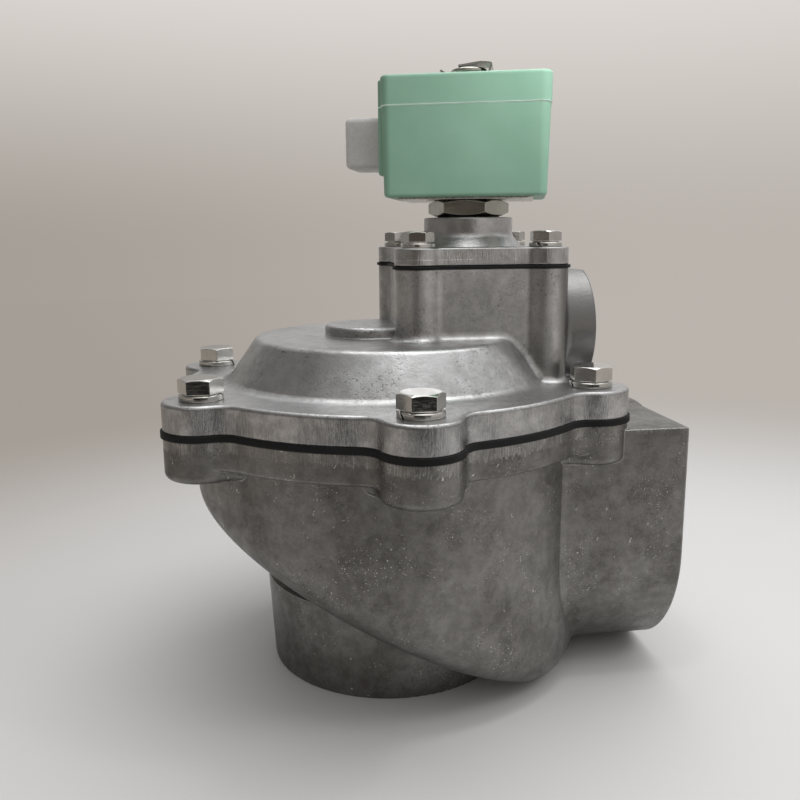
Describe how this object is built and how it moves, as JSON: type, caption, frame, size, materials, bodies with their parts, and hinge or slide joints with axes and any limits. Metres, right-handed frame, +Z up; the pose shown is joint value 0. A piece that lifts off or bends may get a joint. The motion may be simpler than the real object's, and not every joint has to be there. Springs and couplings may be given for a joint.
{
  "type": "dust collector pulse valve",
  "caption": "Right-angle diaphragm pulse valve with a built-in pilot stage and a solenoid coil, threaded inlet and outlet.",
  "frame": {"origin": "centre of the outlet spigot's end face, on the outlet axis", "axes": "+Z up along the outlet and diaphragm axis, towards the cover; +X out of the inlet port"},
  "size_m": [0.1804, 0.1814, 0.2224],
  "materials": {
    "cast_aluminium": "die cast, tumbled, dark grey",
    "cover_aluminium": "die cast, tumbled, mid grey",
    "black_rubber": "matt black rubber on fabric",
    "seat_plastic": "moulded, matt",
    "zinc_steel": "pressed, zinc plated",
    "bright_steel": "bright stainless",
    "spring_steel": "drawn wire",
    "nickel_steel": "turned stainless",
    "coil_resin": "satin green moulding",
    "tinned_brass": "tinned blade",
    "cap_plastic": "frosted translucent"
  },
  "bodies": {
    "housing": {"valve_body": "cast_aluminium", "main_cover": "cover_aluminium", "pilot_bonnet": "cover_aluminium", "main_diaphragm": "black_rubber", "main_spring": "spring_steel", "pilot_diaphragm": "black_rubber", "pilot_spring": "spring_steel", "solenoid_base": "nickel_steel", "base_gasket": "black_rubber", "core_tube": "nickel_steel", "plug_nut": "nickel_steel", "core_spring": "spring_steel", "retaining_clip": "spring_steel", "cover_bolts": "bright_steel", "cover_spring_washers": "bright_steel", "bonnet_bolts": "bright_steel", "bonnet_spring_washers": "bright_steel"},
    "main_disc": {"main_seat_disc": "seat_plastic", "main_support_plate": "zinc_steel", "main_disc_bolt": "bright_steel", "main_disc_nut": "bright_steel"},
    "pilot_disc": {"pilot_disc": "seat_plastic", "pilot_support_plate": "zinc_steel", "pilot_rivet": "bright_steel"},
    "core": {"plunger_core": "nickel_steel", "core_seal": "black_rubber"},
    "coil_unit": {"coil": "coil_resin", "coil_yoke": "zinc_steel", "spade_terminals": "tinned_brass"},
    "cap": {"terminal_cap": "cap_plastic"}
  },
  "joints": [
    {"name": "main_lift", "type": "slide", "parent": "housing", "child": "main_disc", "axis": [0, 0, 1], "range_m": [0, 0.01], "stiffness_N_per_m": 1500, "springref_m": -0.01, "deforming": ["main_spring", "main_diaphragm"]},
    {"name": "pilot_lift", "type": "slide", "parent": "housing", "child": "pilot_disc", "axis": [0, 0, 1], "range_m": [0, 0.0025], "stiffness_N_per_m": 400, "springref_m": -0.004, "deforming": ["pilot_spring", "pilot_diaphragm"]},
    {"name": "core_lift", "type": "slide", "parent": "housing", "child": "core", "axis": [0, 0, 1], "range_m": [0, 0.0022], "stiffness_N_per_m": 150, "springref_m": -0.006, "deforming": ["core_spring"]},
    {"name": "coil_swivel", "type": "hinge", "parent": "housing", "child": "coil_unit", "pos_m": [0.0311, 0, 0.195], "axis": [0, 0, 1], "continuous": true},
    {"name": "cap_pull", "type": "slide", "parent": "coil_unit", "child": "cap", "axis": [-0.9578, 0.2874, 0], "range_m": [0, 0.012]}
  ]
}
